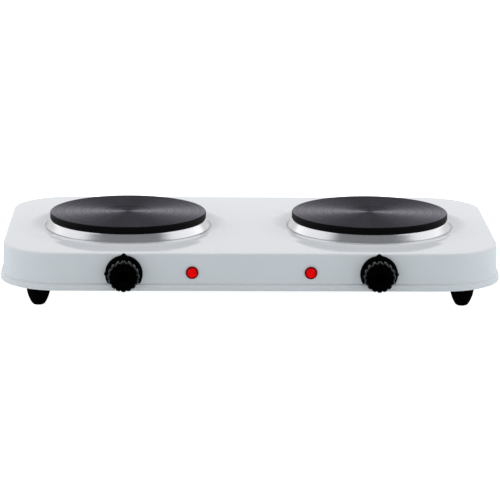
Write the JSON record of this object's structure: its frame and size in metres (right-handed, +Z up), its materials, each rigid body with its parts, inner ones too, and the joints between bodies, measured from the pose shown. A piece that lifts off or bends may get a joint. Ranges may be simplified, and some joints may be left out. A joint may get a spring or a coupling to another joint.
{
  "type": "twin electric hotplate",
  "caption": "Low white enamelled housing on black feet with round cast iron cooking plates in steel rings, fluted black control knobs and red pilot lamps on the front.",
  "frame": {"origin": "on the worktop under the centre of the whole outline, knobs and cable inlet included", "axes": "+X to the user's right along the longest side, +Y away from the user, +Z up; the controls face -Y"},
  "size_m": [0.4838, 0.2918, 0.0709],
  "materials": {
    "white_enamel": "gloss",
    "cast_iron": "turned, blacked",
    "stainless": "circumferentially brushed",
    "zinc": "zinc plated",
    "aluminised": "dull",
    "brass": "plain",
    "black_plastic": "moulded, semi-gloss",
    "black_rubber": "matte",
    "red_lens": "clear red, gloss",
    "lamp_glass": "clear",
    "steatite": "matte",
    "resistance_wire": "oxidised",
    "sleeve_white": "glass-fibre braid",
    "sleeve_brown": "glass-fibre braid",
    "sleeve_blue": "glass-fibre braid",
    "sleeve_green": "glass-fibre braid"
  },
  "bodies": {
    "hotplate_body": {"housing": "white_enamel", "base_plate": "zinc", "foot_front_left": "black_rubber", "foot_screw_front_left": "zinc", "foot_front_right": "black_rubber", "foot_screw_front_right": "zinc", "foot_rear_left": "black_rubber", "foot_screw_rear_left": "zinc", "foot_rear_right": "black_rubber", "foot_screw_rear_right": "zinc", "cooking_plate_left": "cast_iron", "trim_ring_left": "stainless", "heating_coil_left": "resistance_wire", "insulation_disc_left": "steatite", "heat_shield_left": "aluminised", "plate_stud_left": "zinc", "shield_nut_left": "zinc", "base_nut_left": "zinc", "plate_terminal_left": "steatite", "dial_plate_left": "black_plastic", "thermostat_bracket_left": "zinc", "thermostat_body_left": "steatite", "thermostat_screw_left_inner": "zinc", "thermostat_screw_left_outer": "zinc", "lamp_lens_left": "red_lens", "neon_lamp_left": "lamp_glass", "lamp_clip_left": "zinc", "live_wire_left": "sleeve_brown", "neutral_wire_left": "sleeve_blue", "element_wire_left": "sleeve_white", "lamp_wire_left": "sleeve_white", "cooking_plate_right": "cast_iron", "trim_ring_right": "stainless", "heating_coil_right": "resistance_wire", "insulation_disc_right": "steatite", "heat_shield_right": "aluminised", "plate_stud_right": "zinc", "shield_nut_right": "zinc", "base_nut_right": "zinc", "plate_terminal_right": "steatite", "dial_plate_right": "black_plastic", "thermostat_bracket_right": "zinc", "thermostat_body_right": "steatite", "thermostat_screw_right_inner": "zinc", "thermostat_screw_right_outer": "zinc", "lamp_lens_right": "red_lens", "neon_lamp_right": "lamp_glass", "lamp_clip_right": "zinc", "live_wire_right": "sleeve_brown", "neutral_wire_right": "sleeve_blue", "element_wire_right": "sleeve_white", "lamp_wire_right": "sleeve_white", "cable_gland": "black_rubber", "terminal_block": "steatite", "earth_screw": "brass", "earth_wire": "sleeve_green"},
    "left_control": {"knob_left": "black_plastic", "thermostat_shaft_left": "zinc"},
    "right_control": {"knob_right": "black_plastic", "thermostat_shaft_right": "zinc"}
  },
  "joints": [
    {"name": "left_knob_turn", "type": "hinge", "parent": "hotplate_body", "child": "left_control", "pos_m": [-0.1212, -0.1394, 0.0385], "axis": [0, 1, 0], "range_deg": [0, 280]},
    {"name": "right_knob_turn", "type": "hinge", "parent": "hotplate_body", "child": "right_control", "pos_m": [0.1212, -0.1394, 0.0385], "axis": [0, 1, 0], "range_deg": [0, 280]}
  ]
}
